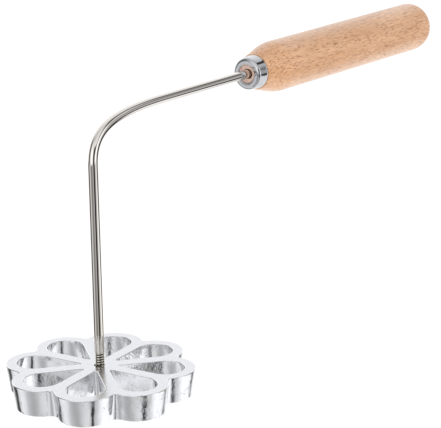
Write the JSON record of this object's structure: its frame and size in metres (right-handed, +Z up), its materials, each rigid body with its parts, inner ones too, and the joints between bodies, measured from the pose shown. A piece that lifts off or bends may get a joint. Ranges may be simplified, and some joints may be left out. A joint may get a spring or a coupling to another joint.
{
  "type": "rosette frying mould",
  "caption": "Flower-shaped cast frying mould with open teardrop petals, screwed on a bent steel rod with a ferrule and a turned wooden handle.",
  "frame": {"origin": "centre of the hub on the mould's flat underside", "axes": "+Z up along the rod's threaded end, square to the underside; the arm and the handle point along +X"},
  "size_m": [0.2973, 0.0762, 0.1373],
  "materials": {
    "cast_aluminium": "machined top, polished walls",
    "stainless_steel": "bright drawn",
    "zinc_plated_steel": "zinc plated, satin",
    "beech": "sanded, unvarnished"
  },
  "bodies": {
    "mould": {"rosette_mould": "cast_aluminium"},
    "holder": {"rod": "stainless_steel", "ferrule": "zinc_plated_steel", "handle": "beech"}
  },
  "joints": [
    {"name": "thread", "type": "slide", "parent": "mould", "child": "holder", "axis": [0, 0, 1], "range_m": [0, 0.012]}
  ]
}
